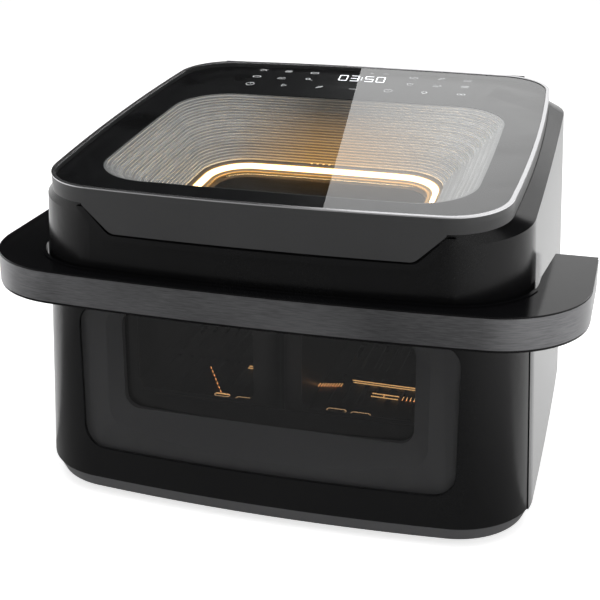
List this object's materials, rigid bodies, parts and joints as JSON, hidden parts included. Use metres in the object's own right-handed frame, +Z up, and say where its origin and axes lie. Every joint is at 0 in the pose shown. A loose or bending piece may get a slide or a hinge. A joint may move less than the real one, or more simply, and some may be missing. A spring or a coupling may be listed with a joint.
{
  "type": "dual basket air fryer",
  "caption": "Countertop air fryer with a windowed pull-out drawer holding side by side baskets, a wrap-round handle and a glass-topped hinged lid with a lit viewing funnel.",
  "frame": {"origin": "centre of the footprint on the surface it stands on", "axes": "+Z up, -Y towards the user (drawer and handle side), X along the width"},
  "size_m": [0.4742, 0.39, 0.2977],
  "materials": {
    "housing_black": "gloss black moulded plastic",
    "base_grey": "satin dark grey plastic",
    "rubber": "soft black rubber",
    "seal": "silicone seal",
    "cavity_steel": "plain sheet steel",
    "rail_steel": "zinc coated steel",
    "heater": "dark sheathed heating tube",
    "ceramic": "pale ceramic",
    "fan": "cast aluminium",
    "motor": "dark painted steel",
    "board": "green circuit board",
    "rear_plastic": "matt black plastic",
    "rim_silver": "satin silver trim",
    "lid_grey": "satin dark grey",
    "top_glass": "clear glass",
    "mask_black": "black print under glass",
    "reflector": "stepped satin metallised reflector",
    "light": "lit diffuser",
    "inner_glass": "heat resistant glass",
    "window_glass": "tinted glass",
    "display": "display block",
    "handle_steel": "gunmetal brushed steel",
    "window_grey": "dark grey plastic bezel",
    "nonstick": "dark non-stick coating"
  },
  "bodies": {
    "housing": {"main_housing": "housing_black", "base_tray": "base_grey", "rubber_feet": "rubber", "cavity_liner": "cavity_steel", "cavity_top": "cavity_steel", "cavity_frame": "cavity_steel", "chamber_throat": "cavity_steel", "fan_box": "cavity_steel", "rail_left": "rail_steel", "rail_right": "rail_steel", "hinge_bracket_left": "rail_steel", "hinge_bracket_right": "rail_steel", "hinge_pin_left": "rail_steel", "hinge_pin_right": "rail_steel", "heater_left": "heater", "heater_right": "heater", "heater_terminals": "ceramic", "fan_motor_left": "motor", "fan_motor_right": "motor", "power_board": "board", "rear_vent": "rear_plastic", "cord_gland": "rear_plastic"},
    "drawer": {"handle_deck": "housing_black", "handle_base": "housing_black", "handle_band": "handle_steel", "drawer_shell": "housing_black", "window_glass": "window_glass", "window_frame": "window_grey", "window_inner_glass": "inner_glass", "drawer_panel": "cavity_steel", "drawer_seal": "seal", "drawer_pan": "nonstick", "runner_left": "rail_steel", "runner_right": "rail_steel", "basket_left": "nonstick", "basket_right": "nonstick", "basket_glass_left": "inner_glass", "basket_glass_right": "inner_glass", "crisper_left": "nonstick", "crisper_right": "nonstick"},
    "lid": {"lid_rim": "rim_silver", "lid_frame": "lid_grey", "top_glass": "top_glass", "panel_mask": "mask_black", "reflector": "reflector", "light_ring": "light", "pane_retainer": "reflector", "lid_inner_pane": "inner_glass", "lid_shield": "cavity_steel", "lid_seal": "seal", "touch_board": "board", "display_module": "display"},
    "fan_left": {"fan_left": "fan", "fan_shaft_left": "rail_steel"},
    "fan_right": {"fan_right": "fan", "fan_shaft_right": "rail_steel"}
  },
  "joints": [
    {"name": "drawer_slide", "type": "slide", "parent": "housing", "child": "drawer", "axis": [0, -1, 0], "range_m": [0, 0.2]},
    {"name": "lid_hinge", "type": "hinge", "parent": "housing", "child": "lid", "pos_m": [0, 0.1904, 0.29113], "axis": [-1, 0, 0], "range_deg": [0, 75]},
    {"name": "fan_left_spin", "type": "hinge", "parent": "housing", "child": "fan_left", "pos_m": [-0.085, 0.13, 0.112], "axis": [0, 1, 0], "continuous": true},
    {"name": "fan_right_spin", "type": "hinge", "parent": "housing", "child": "fan_right", "pos_m": [0.085, 0.13, 0.112], "axis": [0, 1, 0], "continuous": true}
  ]
}
